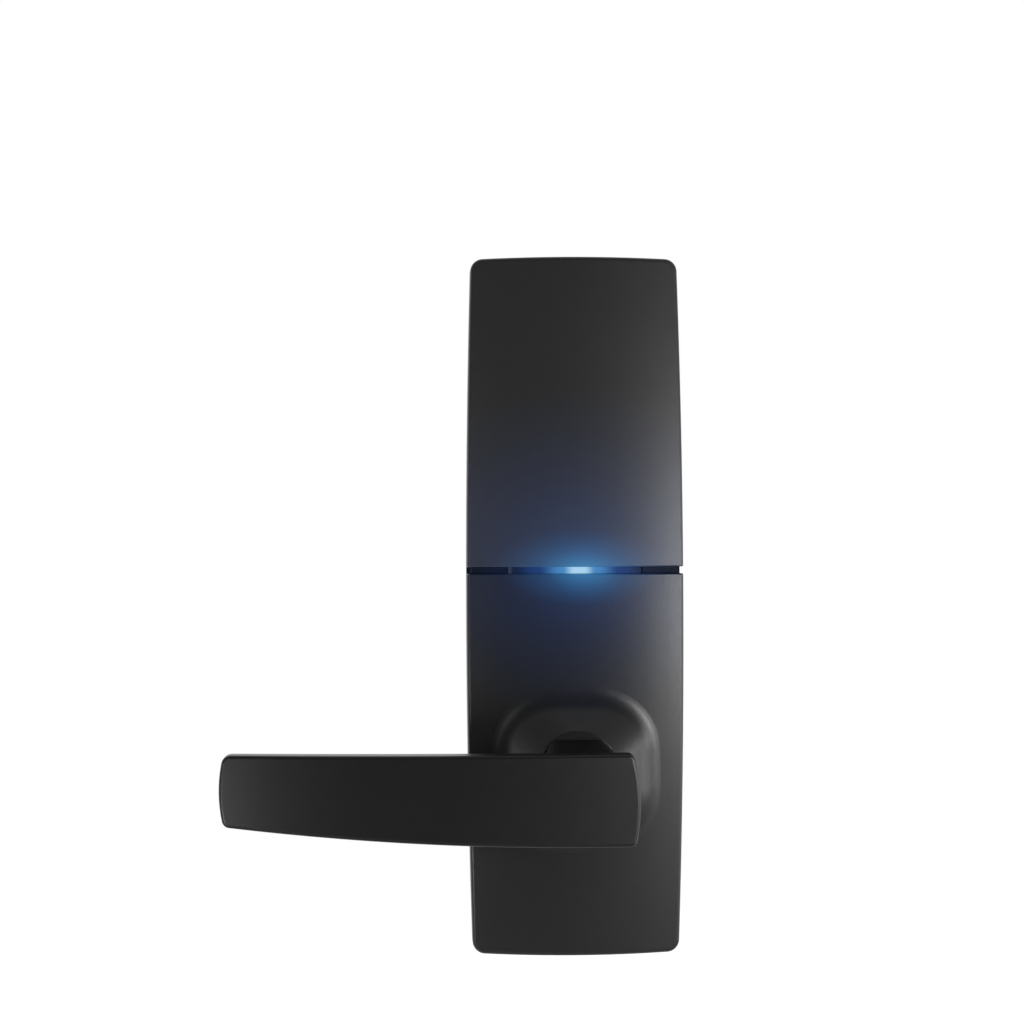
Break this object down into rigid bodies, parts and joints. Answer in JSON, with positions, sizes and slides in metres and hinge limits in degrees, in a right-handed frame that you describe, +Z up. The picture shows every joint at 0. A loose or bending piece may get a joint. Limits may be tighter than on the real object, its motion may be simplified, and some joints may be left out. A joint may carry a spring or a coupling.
{
  "type": "smart door lock",
  "caption": "Tall crowned lever lock case in matte black, split by a lit groove, with a raised collar, a flat tapering lever and a motor clutch inside.",
  "frame": {"origin": "the lever's axis where it meets the door face", "axes": "+X to the right seen from outside, +Y into the door, +Z up"},
  "size_m": [0.1587, 0.1065, 0.2425],
  "materials": {
    "black_cast_metal": "fine-textured matte black powder coat on a zinc casting",
    "black_moulding": "fine spark-textured matte black moulding",
    "black_base": "matte black powder coat on an aluminium casting",
    "seal_rubber": "matte closed-cell sheet",
    "steel": "turned and drawn steel",
    "zinc_plated": "bright zinc-plated fasteners",
    "spring_wire": "drawn spring wire",
    "bronze": "sintered bronze",
    "light_pipe": "frosted clear light pipe",
    "led_lamp": "lit blue-white lamp",
    "circuit_board": "green solder mask",
    "black_component": "moulded package",
    "ferrite": "dull pressed sheet",
    "white_acetal": "natural moulding",
    "connector_white": "moulded header",
    "motor_can": "nickel-plated can"
  },
  "bodies": {
    "case": {"base_housing": "black_base", "door_gasket": "seal_rubber", "upper_cover": "black_moulding", "lower_cover": "black_cast_metal", "upper_cover_screws": "zinc_plated", "lower_cover_screws": "zinc_plated", "mounting_posts": "zinc_plated", "cable_grommet": "seal_rubber", "light_guide": "light_pipe", "led_board": "circuit_board", "status_led": "led_lamp", "control_board": "circuit_board", "reader_board": "circuit_board", "board_standoffs": "steel", "board_pillars": "steel", "board_screws": "zinc_plated", "ferrite_sheet": "ferrite", "board_chips": "black_component", "buzzer": "black_component", "board_connector": "connector_white", "lever_bush": "bronze", "motor_body": "motor_can", "motor_bracket": "steel", "bracket_screws": "zinc_plated", "return_spring": "spring_wire"},
    "lever": {"lever_handle": "black_cast_metal", "lever_shaft": "steel", "grub_screw": "steel", "clutch_spring": "spring_wire"},
    "drive": {"drive_hub": "steel", "spindle": "steel", "spindle_pin": "steel", "hub_circlip": "spring_wire"},
    "pusher": {"clutch_pusher": "white_acetal"},
    "pin": {"clutch_pin": "steel"},
    "screw": {"motor_screw": "steel"}
  },
  "joints": [
    {"name": "lever_turn", "type": "hinge", "parent": "case", "child": "lever", "pos_m": [0, 0, 0], "axis": [0, -1, 0], "range_deg": [0, 45], "stiffness_Nm_per_rad": 1, "springref_deg": -40.11, "deforming": ["return_spring"]},
    {"name": "drive_turn", "type": "hinge", "parent": "case", "child": "drive", "pos_m": [0, 0, 0], "axis": [0, -1, 0], "range_deg": [0, 45]},
    {"name": "pusher_slide", "type": "slide", "parent": "case", "child": "pusher", "axis": [0, 0, -1], "range_m": [0, 0.0045]},
    {"name": "pin_slide", "type": "slide", "parent": "lever", "child": "pin", "axis": [0, 0, -1], "range_m": [0, 0.0019], "deforming": ["clutch_spring"]},
    {"name": "screw_turn", "type": "hinge", "parent": "case", "child": "screw", "pos_m": [0, -0.011, 0.04], "axis": [0, 0, 1], "range_deg": [0, 1085]}
  ],
  "couplings": [
    {"joint": "drive_turn", "follows": "lever_turn", "ratio": 1},
    {"joint": "pin_slide", "follows": "pusher_slide", "ratio": 0.4},
    {"joint": "screw_turn", "follows": "pusher_slide", "rad_per_m": 4188.8}
  ]
}
